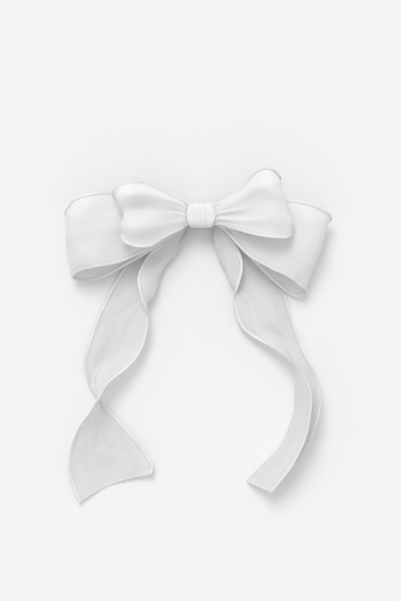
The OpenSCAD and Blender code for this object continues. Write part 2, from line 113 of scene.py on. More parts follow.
FRONT_RIGHT_ROWS = [
    [[0.4, 5, 14], [0.4, 0, 14.5], [0.4, -5, 14], 0],
    [[7, 5.6, 14.4], [7, 0.2, 14.6], [7, -5.4, 14.4], 0],
    [[12, 8, 16], [12, 1.5, 16.6], [12, -6, 16], 0.5],
    [[22, 15.5, 19.5], [23.5, 3.5, 20.8], [20.5, -9, 19.5], 1],
    [[28, 22.5, 25], [33, 6, 26], [30.5, -12, 25], 1.5],
    [[34, 26, 27.5], [41, 5.5, 28.5], [40.5, -13.5, 27.5], 1.5],
    [[39.5, 25.5, 27], [46, 5.5, 27], [47.5, -13.5, 26.5], 1],
    [[43, 21, 24.5], [48, 5, 23.5], [51.5, -10.5, 22], 0.5],
    [[40.5, 17, 21], [44.5, 3.5, 20], [47.5, -9, 19.5], 0],
    [[29, 13, 18.5], [31, 1.5, 18], [32, -10, 17.5], 0],
    [[13, 6, 13.5], [14, 0, 13.5], [13.5, -7.5, 13.5], 0],
    [[7, 5, 12.8], [7, -0.2, 12.8], [7, -5.4, 12.8], 0],
    [[0.4, 5, 12.5], [0.4, 0, 12.5], [0.4, -5, 12.5], 0]]
TAIL_LEFT_ROWS = [
    [[-0.4, 4, 7], [-0.4, -0.5, 7.1], [-0.4, -5, 7], 0],
    [[-7.5, 2.5, 6.9], [-7.2, -2.2, 7.2], [-7.5, -5.6, 7.1], 0],
    [[-17, -5, 5.8], [-8.9, -11.2, 5.4], [-12.8, -8.2, 6.6], 0],
    [[-27, -14.5, 4], [-13.7, -20.5, 4.2], [-20.5, -14.5, 6.4], 0],
    [[-38.5, -23, 1.5], [-20, -27.5, 3.5], [-29.5, -22, 6.8], 0],
    [[-48, -36, 1], [-23.5, -35, 4], [-35.5, -34.5, 10], 0],
    [[-55, -49, 1], [-29, -46, 4.5], [-34, -47.5, 11], 0],
    [[-62, -65.5, 1.5], [-42.5, -58, 3], [-29.5, -61, 9], 0],
    [[-66.5, -83.5, 4], [-53, -81, 1], [-36, -80.5, 9], 0],
    [[-64, -95.5, 4], [-59, -92, 4], [-50, -93.5, 14], 0],
    [[-58.5, -104, 1.5], [-58.5, -104, 9], [-58.5, -104.5, 18], 0],
    [[-52.5, -110, 1], [-59, -113.5, 5], [-66, -115.5, 15], 0],
    [[-39, -124.5, 3], [-56.5, -128.5, 2], [-73, -131, 8], 0],
    [[-28, -140, 4.5], [-52, -140.5, 1], [-75, -146, 3.5], 0],
    [[-28, -146.5, 4.5], [-50.5, -152.5, 1], [-69.5, -163, 2.5], 0]]
TAIL_RIGHT_ROWS = [
    [[0.4, -5, 7], [0.4, -0.5, 7.1], [0.4, 4, 7], 0],
    [[7.5, -5.6, 7.1], [7.2, -2.2, 7.2], [7.5, 2.5, 7], 0],
    [[12.8, -8.6, 6.8], [7.4, -11.3, 5.6], [17.5, -6.6, 6.6], 0],
    [[18.8, -14.5, 6.8], [9.6, -19.5, 4.5], [25.5, -12, 4.5], 0],
    [[23.5, -26.5, 8], [13, -28.5, 3.5], [34.5, -21.5, 2], 0],
    [[21.5, -39.5, 8.5], [20, -39, 2.5], [43.5, -33, 1], 0],
    [[18.5, -49.5, 6], [32, -47.5, 4], [49.5, -49, 1], 0],
    [[24, -64.5, 4.5], [37, -60.5, 6], [53.5, -64, 1], 0],
    [[39, -74.5, 9], [46.5, -71.5, 4], [58, -75, 3.5], 0],
    [[53, -83.5, 17], [53, -85.5, 4], [62, -83.5, 8], 0],
    [[60.5, -95, 21], [53, -98, 2], [66, -95, 12], 0],
    [[61.5, -110.5, 22], [52.5, -113, 1], [66.5, -112, 14], 0],
    [[57, -129.5, 20], [45.5, -130, 1], [61, -128.5, 13], 0],
    [[49.5, -143.5, 17], [33.5, -143, 1], [51.5, -142.5, 11], 0],
    [[40, -156, 13], [26, -150.5, 1], [42, -154, 8], 0]]

# ---- ribbon cloth, in millimetres; places along and across it run from 0 to 1 ----
RIBBON_WIDTH = 40.0
RIBBON_STEPS = 300
RIBBON_CELLS = 56
LENGTH_STEPS = 90
WIDTH_STEPS = 60
WIDTH_CELLS = 25
LOOP_ENDS = 4.0
FACING_STEP = 0.004

# the knot, and how far from it the cloth is held
KNOT_Y = -0.15
KNOT_REACH = 8.0

# pleats across the cloth: their number, their depth from the knot outwards, and their unevenness
PLEATS = 3.6
PLEAT_IN_KNOT = 0.3
PLEAT_RISE = 6.0
PLEAT_MOST = 1.6
PLEAT_FAR = 0.5
PLEAT_PEAK = 18.0
PLEAT_SPREAD = 14.0
PLEAT_UNEVEN = 0.45
PLEAT_WINDOW = 0.7
PLEAT_WANDER = 0.05
PLEAT_WANDER_TURNS = 1.3

# share of that depth on each ply of a loop and on a tail
FRONT_PLY = 0.7
REAR_PLY = 1.1
TAIL_PLY = 0.85
FRONT_BOW_PLY = 0.6
PLY_TURN = 0.5
PLY_TURN_RISE = 0.15

# finer pleats on the rear plies, where a loop is narrower than its cloth
REAR_PLEATS = 6.5
REAR_DEEP = 1.4
REAR_FROM = 0.58
REAR_RISE = 0.1
REAR_NARROW = 12.0

# creases on the front bow's front plies, by the ribbon's seed: place across, depth, breadth across,
# distance from the knot and spread along
CREASES = {
    13: [(0.46, -1.0, 0.05, 13.0, 6.5), (0.62, 0.5, 0.11, 22.0, 9.0)],
    14: [(0.44, -0.7, 0.05, 15.0, 6.5), (0.55, 0.6, 0.06, 18.0, 9.0)],
}
FRONT_PLY_END = 0.4
KNOT_SWELL = 1.0
KNOT_SWELL_AT = 9.5
KNOT_SWELL_SPREAD = 2.6

# slack waves in the cloth, and ripples along its edges
WRINKLES = 6
WRINKLE = 0.16
WRINKLE_WAVES = (14, 34)
WRINKLE_TURN = 0.9
WRINKLE_RISE = 12.0
EDGE_RIPPLE = 0.22
EDGE_REACH = 5.0
RIPPLE_WAVES = (11, 16)

# hems: a flat band with a bead on each side, and a stitch that swells it
HEM_WIDTH = 1.9
HEM_THICK = 0.46
HEM_OVER = 0.15
HEM_WAIST = 0.62
HEM_BEAD_POWER = 1.5
HEM_POINTS = 14
HEM_STEPS = 460
HEM_INWARD = 0.02
HEM_IN_KNOT = 0.45
HEM_STITCH = 0.9
HEM_SWELL = 0.07
HEM_ROUND = 0.005
# painted shade across a hem, from its outer rim round its profile: darker at the rim, in the groove between
# the beads and where it meets the cloth
HEM_HALF_PAINTED_SHADE = [(0.0, 0.45), (0.06, 0.8), (0.12, 1.0), (0.24, 0.9), (0.38, 1.0), (0.45, 0.5)]
HEM_PAINTED_SHADE = HEM_HALF_PAINTED_SHADE + [(1 - place, tone) for place, tone in reversed(HEM_HALF_PAINTED_SHADE)]
CUT_END_R = 0.28
CUT_END_STEPS = 90


def curve(points, t):
    """Smooth curve through the points, at t from 0 to 1."""
    pts = np.array(points, float)
    if pts.ndim == 1:
        pts = pts[:, None]
    n = len(pts) - 1
    t = np.clip(np.asarray(t, float), 0, 1)
    i = np.minimum(np.floor(t * n).astype(int), n - 1)
    f = (t * n - i)[..., None]
    ext = np.vstack([2 * pts[0] - pts[1], pts, 2 * pts[-1] - pts[-2]])
    a, b, c, d = ext[i], ext[i + 1], ext[i + 2], ext[i + 3]
    return 0.5 * (
        2 * b + (c - a) * f
        + (2 * a - 5 * b + 4 * c - d) * f ** 2
        + (3 * b - a - 3 * c + d) * f ** 3
    )


def arch(rows, u, v):
    """Points of the smooth band that the rows give, before pleats."""
    top = curve([r[0] for r in rows], u)
    mid = curve([r[1] for r in rows], u)
    low = curve([r[2] for r in rows], u)
    v = v[..., None]
    return top * 2 * (v - 0.5) * (v - 1) + mid * 4 * v * (1 - v) + low * 2 * v * (v - 0.5)


def unit(a):
    return a / np.maximum(np.linalg.norm(a, axis=-1, keepdims=True), 1e-9)


def path_run(line):
    """Length along a line, up to each of its points."""
    return np.concatenate([[0], np.cumsum(np.linalg.norm(np.diff(line, axis=0), axis=1))])


def rise(x, start, over):
    """0 up to start, then even growth to 1."""
    return np.clip((x - start) / over, 0, 1)


def facing(rows, u, v):
    """Directions square to the smooth band."""
    e = FACING_STEP
    along = arch(rows, np.minimum(u + e, 1), v) - arch(rows, np.maximum(u - e, 0), v)
    over = arch(rows, u, np.minimum(v + e, 1)) - arch(rows, u, np.maximum(v - e, 0))
    return unit(np.cross(along, over))


def widths(rows):
    """Places along a band, and its width across at each of them."""
    at = np.linspace(0, 1, WIDTH_STEPS)
    u, v = np.meshgrid(at, np.linspace(0, 1, WIDTH_CELLS), indexing="ij")
    return at, np.linalg.norm(np.diff(arch(rows, u, v), axis=1), axis=-1).sum(1)


def window(v):
    """1 along the ribbon's middle, and 0 at its edges."""
    return np.sin(math.pi * v) ** PLEAT_WINDOW


def pleats(rows, seed, rng, u, v, reach):
    """Lift of the gathers, whose depth follows the cloth's spare width up to a limit."""
    loop = math.dist(rows[-1][1], rows[0][1]) < LOOP_ENDS
    at, wide = widths(rows)
    spare = np.sqrt(2 * np.maximum((RIBBON_WIDTH / wide) ** 2 - 1, 0))
    deep = np.interp(u, at, wide * spare / (2 * math.pi * PLEATS))
    far = np.maximum(reach - PLEAT_PEAK, 0) / PLEAT_SPREAD
    limit = PLEAT_FAR + (PLEAT_MOST - PLEAT_FAR) * np.exp(-far ** 2)
    share = TAIL_PLY
    if loop:
        share = FRONT_PLY + (REAR_PLY - FRONT_PLY) * rise(u, PLY_TURN, PLY_TURN_RISE)
    if seed in CREASES:
        share = share * FRONT_BOW_PLY
    inside = rise(reach, KNOT_REACH, PLEAT_RISE)
    size = PLEAT_IN_KNOT + inside * (np.minimum(deep, limit) * share - PLEAT_IN_KNOT)
    uneven = np.sin(2 * math.pi * (v + rng.uniform()))
    size = size * (1 - PLEAT_UNEVEN + PLEAT_UNEVEN * uneven)
    phase = rng.uniform(0, 2 * math.pi)
    wander = v + PLEAT_WANDER * np.sin(2 * math.pi * (PLEAT_WANDER_TURNS * v + rng.uniform()))
    lift = size * np.cos(2 * math.pi * PLEATS * wander + phase) * window(v)
    if loop:
        hidden = rise(u, REAR_FROM, REAR_RISE) * inside
        narrow = np.clip((RIBBON_WIDTH - np.interp(u, at, wide)) / REAR_NARROW, 0, 1)
        fine = np.cos(2 * math.pi * REAR_PLEATS * v + phase)
        lift = lift + REAR_DEEP * hidden * narrow * window(v) * fine
    return lift


def wrinkles(rng, run, v, reach):
    """Lift of the slack waves and of the ripples along both edges."""
    free = rise(reach, KNOT_REACH, WRINKLE_RISE)
    lift = np.zeros_like(reach)
    for _ in range(WRINKLES):
        wave = rng.uniform(*WRINKLE_WAVES)
        turn = rng.uniform(-WRINKLE_TURN, WRINKLE_TURN)
        phase = rng.uniform(0, 2 * math.pi)
        along = run * math.sin(turn) + v * RIBBON_WIDTH * math.cos(turn)
        lift = lift + WRINKLE * free * np.sin(2 * math.pi * along / wave + phase)
    for edge in (v, 1 - v):
        near = np.exp(-edge * RIBBON_WIDTH / EDGE_REACH)
        wave = rng.uniform(*RIPPLE_WAVES)
        phase = rng.uniform(0, 2 * math.pi)
        lift = lift + EDGE_RIPPLE * free * near * np.sin(2 * math.pi * run / wave + phase)
    return lift


def creases(side, seed, u, v, reach):
    """Lift of a ribbon's own creases, and of its swell beside the knot."""
    lift = np.zeros_like(reach)
    if seed not in CREASES:
        return lift
    front = u < FRONT_PLY_END
    for place, depth, breadth, centre, spread in CREASES[seed]:
        along = np.exp(-((reach - centre) / spread) ** 2) * front
        lift = lift + side * depth * along * np.exp(-((v - place) / breadth) ** 2)
    swell = np.exp(-((reach - KNOT_SWELL_AT) / KNOT_SWELL_SPREAD) ** 2)
    return lift + side * KNOT_SWELL * front * window(v) * swell


def ribbon_point(rows, side, seed, u, v):
    """Points of a ribbon's cloth at u along and v across, pleated, creased and wrinkled."""
    u, v = np.broadcast_arrays(np.asarray(u, float), np.asarray(v, float))
    rng = np.random.RandomState(seed)
    base = arch(rows, u, v)
    reach = np.hypot(base[..., 0], base[..., 1] - KNOT_Y)
    run = u * path_run(curve([r[1] for r in rows], np.linspace(0, 1, LENGTH_STEPS)))[-1]
    lift = pleats(rows, seed, rng, u, v, reach)
    lift = lift + wrinkles(rng, run, v, reach)
    lift = lift + creases(side, seed, u, v, reach)
    puff = curve([r[3] for r in rows], u)[..., 0] * np.sin(2 * math.pi * v) ** 2
    return base + facing(rows, u, v) * (side * puff + lift)[..., None]


# ---- meshes ----
def mesh_object(name, verts, faces, uvs=None):
    """A smooth mesh from points in millimetres, with one pair of metres per point as its flat place."""
    me = bpy.data.meshes.new(name)
    me.from_pydata([tuple(p) for p in np.asarray(verts) * MM], [], faces)
    if uvs is not None:
        layer = me.uv_layers.new(name="flat")
        flat = np.asarray(uvs, float)
        loops = np.empty(len(me.loops), int)
        me.loops.foreach_get("vertex_index", loops)
        layer.data.foreach_set("uv", flat[loops].astype(np.float32).ravel())
    me.polygons.foreach_set("use_smooth", [True] * len(me.polygons))
    me.validate()
    me.update()
    o = bpy.data.objects.new(name, me)
    bpy.context.scene.collection.objects.link(o)
    return o


def grid_faces(m, n, closed=False, start=0):
    """Quads of m rows of n points; closed joins each row's last point to its first."""
    faces = []
    for i in range(m - 1):
        for j in range(n if closed else n - 1):
            a = start + i * n + j
            b = start + i * n + (j + 1) % n
            faces.append((a, b, b + n, a + n))
    return faces


def tube_faces(m, n, start=0):
    """Quads of m closed rows of n points, and a cap on each end."""
    last = start + (m - 1) * n
    caps = [tuple(range(start, start + n)), tuple(reversed(range(last, last + n)))]
    return grid_faces(m, n, True, start) + caps


def tube(name, line, radius, sides):
    along = unit(np.gradient(line, axis=0))
    unlike_any_line = np.array([0.31, 0.17, 0.93])
    p = unit(np.cross(along, unlike_any_line))
    q = np.cross(along, p)
    a = np.linspace(0, 2 * math.pi, sides, endpoint=False)
    out = p[:, None] * np.cos(a)[None, :, None] + q[:, None] * np.sin(a)[None, :, None]
    ring = line[:, None] + radius * out
    uvs = np.stack(np.meshgrid(path_run(line) * MM, a * radius * MM, indexing="ij"), -1).reshape(-1, 2)
    return mesh_object(name, ring.reshape(-1, 3), tube_faces(len(line), sides), uvs)


def thicken(o, thick, offset):
    """Gives a sheet its thickness, in millimetres."""
    modifier = o.modifiers.new("thickness", "SOLIDIFY")
    modifier.thickness = thick * MM
    modifier.offset = offset


# ---- materials, in metres ----
# the period of a banded wave texture at scale 1
WAVE_PERIOD = 0.314
WEAVE_PITCH = 0.00036
BINDING_PITCH = HEM_STITCH * MM
BINDING_FINE_PITCH = 0.00022
THREAD_TWIST = 0.0008
SATIN_PITCH = 0.0011
SATIN_YARN = 0.0003


def node_material(name, colour, rough, metallic=0.0, **sockets):
    mat = bpy.data.materials.new(name)
    mat.use_nodes = True
    nt = mat.node_tree
    bsdf = nt.nodes["Principled BSDF"]
    bsdf.inputs["Base Color"].default_value = (*colour, 1)
    bsdf.inputs["Roughness"].default_value = rough
    bsdf.inputs["Metallic"].default_value = metallic
    for key, value in sockets.items():
        bsdf.inputs[key.replace("_", " ")].default_value = value
    return mat, nt, bsdf


def add(nt, kind, **values):
    node = nt.nodes.new(kind)
    for key, value in values.items():
        setattr(node, key, value)
    return node


def link(nt, a, b):
    nt.links.new(a, b)


def ramp(nt, source, stops):
    """Colour ramp of the source; a stop's value is a colour or one grey."""
    node = add(nt, "ShaderNodeValToRGB")
    while len(node.color_ramp.elements) < len(stops):
        node.color_ramp.elements.new(0.5)
    for element, (place, value) in zip(node.color_ramp.elements, stops):
        element.position = place
        element.color = (*value, 1) if isinstance(value, tuple) else (value, value, value, 1)
    link(nt, source, node.inputs["Fac"])
    return node.outputs["Color"]


def math_node(nt, op, a, b):
    node = add(nt, "ShaderNodeMath", operation=op)
    for k, x in enumerate((a, b)):
        if isinstance(x, (int, float)):
            node.inputs[k].default_value = x
        else:
            link(nt, x, node.inputs[k])
    return node.outputs[0]


def mix(nt, a, share_a, b, share_b):
    return math_node(nt, "ADD", math_node(nt, "MULTIPLY", a, share_a), math_node(nt, "MULTIPLY", b, share_b))


def bump(nt, bsdf, height, distance, strength):
    node = add(nt, "ShaderNodeBump")
    node.inputs["Distance"].default_value = distance
    node.inputs["Strength"].default_value = strength
    link(nt, height, node.inputs["Height"])
    link(nt, node.outputs["Normal"], bsdf.inputs["Normal"])


def flat_place(nt):
    return add(nt, "ShaderNodeUVMap", uv_map="flat").outputs["UV"]


def object_place(nt):
    return add(nt, "ShaderNodeTexCoord").outputs["Object"]


def stretched(nt, place, scale):
    node = add(nt, "ShaderNodeMapping")
    node.inputs["Scale"].default_value = scale
    link(nt, place, node.inputs["Vector"])
    return node.outputs["Vector"]


def bands(nt, place, direction, period, distortion):
    node = add(nt, "ShaderNodeTexWave", wave_type="BANDS", bands_direction=direction)
    node.inputs["Scale"].default_value = WAVE_PERIOD / period
    node.inputs["Distortion"].default_value = distortion
    node.inputs["Detail"].default_value = 1
    link(nt, place, node.inputs["Vector"])
    return node.outputs["Fac"]


def noise(nt, place, scale, detail=3, rough=0.55):
    node = add(nt, "ShaderNodeTexNoise")
    node.inputs["Scale"].default_value = scale
    node.inputs["Detail"].default_value = detail
    node.inputs["Roughness"].default_value = rough
    link(nt, place, node.inputs["Vector"])
    return node.outputs["Fac"]


def organza(name, dark, light, solid):
    """Sheer plain weave; solid is how much of the light its threads stop."""
    mat, nt, bsdf = node_material(name, light, 0.5, Sheen_Weight=0.25, Sheen_Roughness=0.45,
                                  Specular_IOR_Level=0.35)
    place = flat_place(nt)
    warp = bands(nt, place, "X", WEAVE_PITCH, 0.6)
    weft = bands(nt, place, "Y", WEAVE_PITCH, 0.6)
    weave = math_node(nt, "MULTIPLY", warp, weft)
    cover = math_node(nt, "MAXIMUM", warp, weft)
    streak = noise(nt, stretched(nt, place, (14, 420, 1)), 1.0, 4)
    tone = mix(nt, streak, 0.6, noise(nt, place, 60), 0.4)
    link(nt, ramp(nt, tone, [(0.3, dark), (0.7, light)]), bsdf.inputs["Base Color"])
    rough = ramp(nt, mix(nt, cover, 0.5, tone, 0.5), [(0.1, 0.36), (0.9, 0.58)])
    link(nt, rough, bsdf.inputs["Roughness"])
    alpha = ramp(nt, cover, [(0.15, solid - 0.2), (0.75, min(1, solid + 0.06))])
    link(nt, alpha, bsdf.inputs["Alpha"])
    bump(nt, bsdf, math_node(nt, "ADD", weave, math_node(nt, "MULTIPLY", streak, 0.8)), 0.00008, 0.5)
    return mat


def stitched(name, dark, light, pitch):
    """Thread laid in stitches, with painted shade on a hem's outer rim, in the groove between its beads and
    where it meets the cloth.
    """
    mat, nt, bsdf = node_material(name, light, 0.5, Sheen_Weight=0.2, Sheen_Roughness=0.4)
    place = flat_place(nt)
    stitch = bands(nt, place, "X", pitch, 0.9)
    fine = bands(nt, place, "DIAGONAL", BINDING_FINE_PITCH, 0.4)
    both = mix(nt, stitch, 0.6, noise(nt, place, 900), 0.4)
    parts = add(nt, "ShaderNodeSeparateXYZ")
    link(nt, place, parts.inputs["Vector"])
    # painted shade across the hem's profile, multiplied into the stitch colour
    edge = ramp(nt, math_node(nt, "MULTIPLY", parts.outputs["Y"], 1 / HEM_ROUND), HEM_PAINTED_SHADE)
    tone = ramp(nt, both, [(0.2, dark), (0.75, light)])
    shade = add(nt, "ShaderNodeMix", data_type="RGBA", blend_type="MULTIPLY")
    shade.inputs[0].default_value = 1.0
    link(nt, tone, shade.inputs[6])
    link(nt, edge, shade.inputs[7])
    link(nt, shade.outputs[2], bsdf.inputs["Base Color"])
    link(nt, ramp(nt, both, [(0.1, 0.62), (0.9, 0.42)]), bsdf.inputs["Roughness"])
    bump(nt, bsdf, math_node(nt, "ADD", stitch, math_node(nt, "MULTIPLY", fine, 0.4)), 0.00016, 0.6)
    return mat


def ribbed(name, dark, light):
    """Satin ribbon with cross ribs."""
    mat, nt, bsdf = node_material(name, light, 0.42, Sheen_Weight=0.3, Sheen_Roughness=0.4)
    place = object_place(nt)
    rib = bands(nt, place, "X", SATIN_PITCH, 0.25)
    yarn = bands(nt, place, "Y", SATIN_YARN, 0.5)
    both = mix(nt, rib, 0.7, noise(nt, place, 500), 0.3)
    link(nt, ramp(nt, both, [(0.1, dark), (0.8, light)]), bsdf.inputs["Base Color"])
    link(nt, ramp(nt, both, [(0.1, 0.6), (0.9, 0.36)]), bsdf.inputs["Roughness"])
    bump(nt, bsdf, math_node(nt, "ADD", rib, math_node(nt, "MULTIPLY", yarn, 0.3)), 0.00025, 0.7)
    return mat


def brushed_metal(name, dark, light, smooth, worn):
    mat, nt, bsdf = node_material(name, light, 0.3, 1.0)
    grain = noise(nt, stretched(nt, object_place(nt), (60, 2600, 900)), 1.0, 4)
    smudge = noise(nt, object_place(nt), 180, 4, 0.6)
    both = mix(nt, grain, 0.5, smudge, 0.5)
    link(nt, ramp(nt, both, [(0.3, dark), (0.7, light)]), bsdf.inputs["Base Color"])
    link(nt, ramp(nt, both, [(0.3, smooth), (0.75, worn)]), bsdf.inputs["Roughness"])
    bump(nt, bsdf, both, 0.00004, 0.35)
    return mat


def hot_melt(name, dark, light):
    mat, nt, bsdf = node_material(name, light, 0.25, Subsurface_Weight=0.25)
    cloud = noise(nt, object_place(nt), 400, 4)
    link(nt, ramp(nt, cloud, [(0.3, dark), (0.7, light)]), bsdf.inputs["Base Color"])
    link(nt, ramp(nt, cloud, [(0.3, 0.18), (0.7, 0.4)]), bsdf.inputs["Roughness"])
    bump(nt, bsdf, cloud, 0.0002, 0.5)
    return mat


def matte(name, colour):
    return node_material(name, colour, 0.8, Specular_IOR_Level=0.1)[0]


BACK_CLOTH = organza("organza_back", (0.84, 0.852, 0.85), (0.91, 0.922, 0.918), 0.84)
FRONT_CLOTH = organza("organza_front", (0.85, 0.864, 0.862), (0.91, 0.924, 0.92), 0.88)
# painted shade: the tails are the same organza as the loops, coloured darker to stand in for the shade they
# lie in
TAIL_CLOTH_PAINTED_SHADE = organza("organza_tail_painted_shade", (0.76, 0.775, 0.775), (0.85, 0.864, 0.862), 0.84)
WRAP_CLOTH = organza("organza_wrap", (0.86, 0.865, 0.85), (0.92, 0.925, 0.91), 0.97)
BINDING = stitched("edge_binding", (0.85, 0.856, 0.85), (0.96, 0.965, 0.955), BINDING_PITCH)
THREAD = stitched("thread", (0.75, 0.75, 0.72), (0.9, 0.9, 0.88), THREAD_TWIST)
LINING = ribbed("satin_lining", (0.76, 0.76, 0.74), (0.9, 0.9, 0.88))
GLUE = hot_melt("glue", (0.78, 0.72, 0.58), (0.9, 0.87, 0.78))
CLIP_STEEL = brushed_metal("clip_steel", (0.55, 0.56, 0.58), (0.78, 0.79, 0.8), 0.16, 0.36)
SPRING_STEEL = brushed_metal("spring_steel", (0.42, 0.43, 0.45), (0.66, 0.67, 0.69), 0.2, 0.4)


def finish_piece(o, mat, slot, *nodes):
    """Gives a piece of the bow its material, hangs it on the bow's empty and hides the CAD nodes that it
    stands for; slot is not used.
    """
    o.data.materials.append(mat)
    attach(o, "bow")
    if nodes:
        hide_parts(*nodes)


# ---- ribbons ----
def ribbon_cloth(name, rows, side, seed):
    """The cloth of one ribbon, and its length along the middle."""
    along = np.linspace(0, 1, RIBBON_STEPS)
    u, v = np.meshgrid(along, np.linspace(0, 1, RIBBON_CELLS), indexing="ij")
    p = ribbon_point(rows, side, seed, u, v)
    run = path_run(curve([r[1] for r in rows], along))
    uv = np.stack([np.repeat(run[:, None], RIBBON_CELLS, 1) * MM, v * RIBBON_WIDTH * MM], -1)
    o = mesh_object(name, p.reshape(-1, 3), grid_faces(RIBBON_STEPS, RIBBON_CELLS), uv.reshape(-1, 2))
    return o, run[-1]


def hem_profile():
    """Closed outline of a hem: in from the edge, and up from the cloth."""
    a = np.linspace(0, 2 * math.pi, HEM_POINTS, endpoint=False)
    bead = HEM_WAIST + (1 - HEM_WAIST) * np.abs(np.cos(a)) ** HEM_BEAD_POWER
    inward = HEM_WIDTH * (0.5 - 0.5 * np.cos(a)) - HEM_OVER
    return np.stack([inward, HEM_THICK * bead * np.sin(a)], -1)


def hem_pair(name, rows, side, seed):
    """The hems along both edges of a ribbon, narrower where the knot holds them."""
    profile = hem_profile()
    u = np.linspace(0, 1, HEM_STEPS)
    around = np.linspace(0, HEM_ROUND, HEM_POINTS, endpoint=False)
    verts, faces, uvs = [], [], []
    for v0, step in ((0.0, HEM_INWARD), (1.0, -HEM_INWARD)):
        edge = ribbon_point(rows, side, seed, u, np.full_like(u, v0))
        inner = ribbon_point(rows, side, seed, u, np.full_like(u, v0 + step))
        along = unit(np.gradient(edge, axis=0))
        inward = inner - edge
        inward = unit(inward - (inward * along).sum(-1, keepdims=True) * along)
        up = np.cross(along, inward)
        run = path_run(edge)
        tight = np.clip(np.hypot(edge[:, 0], edge[:, 1] - KNOT_Y) / (2 * KNOT_REACH), HEM_IN_KNOT, 1)
        swell = 1 + HEM_SWELL * np.sin(2 * math.pi * run / HEM_STITCH)
        ring = (
            edge[:, None]
            + inward[:, None] * (profile[None, :, :1] * tight[:, None, None])
            + up[:, None] * (profile[None, :, 1:] * (tight * swell)[:, None, None])
        )
        faces.extend(tube_faces(HEM_STEPS, HEM_POINTS, len(verts)))
        verts.extend(ring.reshape(-1, 3))
        uvs.extend(np.stack(np.meshgrid(run * MM, around, indexing="ij"), -1).reshape(-1, 2))
    return mesh_object(name, verts, faces, uvs)


def sealed_end(name, rows, side, seed):
    """The melted bead along the cut end of a tail."""
    v = np.linspace(0, 1, CUT_END_STEPS)
    line = ribbon_point(rows, side, seed, np.ones_like(v), v)
    return tube(name, line, CUT_END_R, 8)


RIBBONS = [
    ("back_left", BACK_LEFT_ROWS, 1, 11, BACK_CLOTH, "back_loop_left", "edge_wires_back_left"),
    ("back_right", BACK_RIGHT_ROWS, -1, 12, BACK_CLOTH, "back_loop_right", "edge_wires_back_right"),
    ("front_left", FRONT_LEFT_ROWS, 1, 13, FRONT_CLOTH, "front_loop_left", "edge_wires_front_left"),
    ("front_right", FRONT_RIGHT_ROWS, -1, 14, FRONT_CLOTH, "front_loop_right", "edge_wires_front_right"),
    ("tail_left_cloth", TAIL_LEFT_ROWS, 1, 15, TAIL_CLOTH_PAINTED_SHADE, "tail_left", "edge_wires_tail_left"),
    ("tail_right_cloth", TAIL_RIGHT_ROWS, 1, 16, TAIL_CLOTH_PAINTED_SHADE, "tail_right", "edge_wires_tail_right"),
]
for label, rows, side, seed, cloth, node, wires in RIBBONS:
    piece, length = ribbon_cloth(label + "_ribbon", rows, side, seed)
    finish_piece(piece, cloth, "organza", node)
    hem = hem_pair(label + "_hems", rows, side, seed)
    finish_piece(hem, BINDING, "edge_binding", wires)
    if node.startswith("tail"):
        bead = sealed_end(label + "_cut_end", rows, side, seed)
        finish_piece(bead, BINDING, "edge_binding")

# ---- centre wrap ----
WRAP_HALF_X = 8.2
WRAP_HALF_Y = 6.75
WRAP_HALF_Z = 5.85
WRAP_MIDDLE_Z = 10.75
WRAP_FLAT = (18.0, 44.0)
WRAP_STEPS = 120
WRAP_CELLS = 64
WRAP_THICK = 0.3
RING_POWER = 3.3
WRAP_BACK_SHARE = 0.79
WRAP_LEAN = 0.08
WRAP_RIDGE = 0.26
WRAP_RIDGE_TURNS = 1.1
WRAP_RIDGE_SHIFT = 0.1
WRAP_BACK_RELIEF = 0.3
WRAP_EDGE_DROP = 0.75
WRAP_EDGE_POWER = 6

# creases across the wrap's front: place, breadth and depth
WRAP_CREASES = [(0.0, 0.07, 0.55), (0.34, 0.06, 0.44), (-0.48, 0.1, 0.275)]


def soft_ring(t, half_y, half_z):
    """A rounded box outline, once round for each whole t."""
    c = np.cos(2 * math.pi * t)
    s = np.sin(2 * math.pi * t)
    y = half_y * np.sign(c) * np.abs(c) ** (2 / RING_POWER)
    z = half_z * np.sign(s) * np.abs(s) ** (2 / RING_POWER)
    return y, z


def wrap_cloth(name):
    around = np.linspace(0, 1, WRAP_STEPS, endpoint=False)
    t, x = np.meshgrid(around, np.linspace(-1, 1, WRAP_CELLS), indexing="ij")
    y, z = soft_ring(t, WRAP_HALF_Y, WRAP_HALF_Z)
    front = np.clip(z / WRAP_HALF_Z, 0, 1)
    bulge = front * np.cos(math.pi * y / (2 * WRAP_HALF_Y))
    half = WRAP_HALF_X * (WRAP_BACK_SHARE + (1 - WRAP_BACK_SHARE) * bulge)
    lean = x + WRAP_LEAN * y / WRAP_HALF_Y
    lift = WRAP_RIDGE * np.cos(2 * math.pi * (lean * WRAP_RIDGE_TURNS + WRAP_RIDGE_SHIFT))
    for place, breadth, depth in WRAP_CREASES:
        lift = lift - depth * front * np.exp(-((lean - place) / breadth) ** 2)
    lift = lift * (WRAP_BACK_RELIEF + (1 - WRAP_BACK_RELIEF) * front)
    lift = lift - WRAP_EDGE_DROP * np.abs(x) ** WRAP_EDGE_POWER
    pts = np.stack([x * half, KNOT_Y + y * (1 + lift / WRAP_HALF_Y),
                    WRAP_MIDDLE_Z + z * (1 + lift / WRAP_HALF_Z)], -1)
    uv = np.stack([t * WRAP_FLAT[1] * MM, (x + 1) / 2 * WRAP_FLAT[0] * MM], -1)
    faces = []
    for i in range(WRAP_STEPS):
        for j in range(WRAP_CELLS - 1):
            a = i * WRAP_CELLS + j
            b = ((i + 1) % WRAP_STEPS) * WRAP_CELLS + j
            faces.append((a, a + 1, b + 1, b))
    o = mesh_object(name, pts.reshape(-1, 3), faces, uv.reshape(-1, 2))
    thicken(o, WRAP_THICK, -1)
    return o


wrap = wrap_cloth("centre_wrap_ribbon")
finish_piece(wrap, WRAP_CLOTH, "organza_wrap", "centre_wrap")

